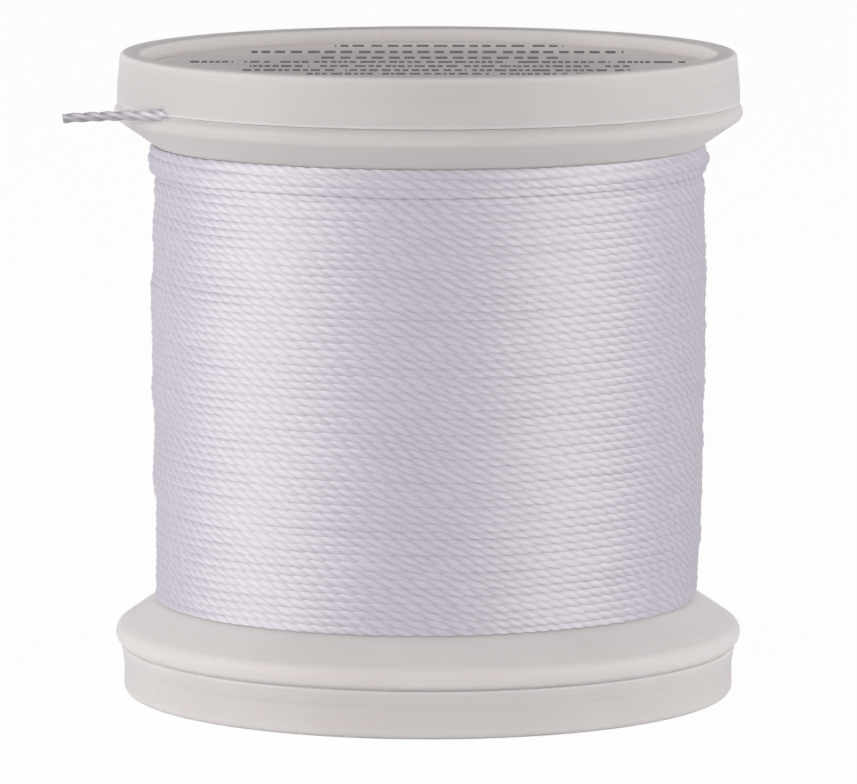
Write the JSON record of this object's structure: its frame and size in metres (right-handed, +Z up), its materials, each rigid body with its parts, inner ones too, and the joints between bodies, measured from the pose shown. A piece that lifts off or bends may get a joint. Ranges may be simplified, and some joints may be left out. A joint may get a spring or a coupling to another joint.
{
  "type": "thread reel",
  "caption": "Flanged reel wound with white twisted thread; an end cap at each end snaps open to trap the free end, and a spindle bore opens at the foot.",
  "frame": {"origin": "centre of the foot, in the plane that the reel stands on", "axes": "+Z up along the reel's axis, -Y towards the front, the thread's free end leaves towards -X"},
  "size_m": [0.0335, 0.0315, 0.0321],
  "materials": {
    "body_plastic": "translucent natural white, satin moulded",
    "cap_plastic": "translucent natural white, satin moulded",
    "label_paper": "plain coated paper",
    "thread": "satin twisted three-ply yarn"
  },
  "bodies": {
    "reel": {"spool_body": "body_plastic", "wound_pack": "thread", "wound_turns": "thread", "thread_tail": "thread"},
    "top_end": {"upper_cap": "cap_plastic", "label_disc": "label_paper"},
    "foot_end": {"lower_cap": "cap_plastic"}
  },
  "joints": [
    {"name": "upper_cap_snap", "type": "slide", "parent": "reel", "child": "top_end", "axis": [0, 0, 1], "range_m": [0, 0.0012]},
    {"name": "lower_cap_snap", "type": "slide", "parent": "reel", "child": "foot_end", "axis": [0, 0, -1], "range_m": [0, 0.0012]}
  ]
}
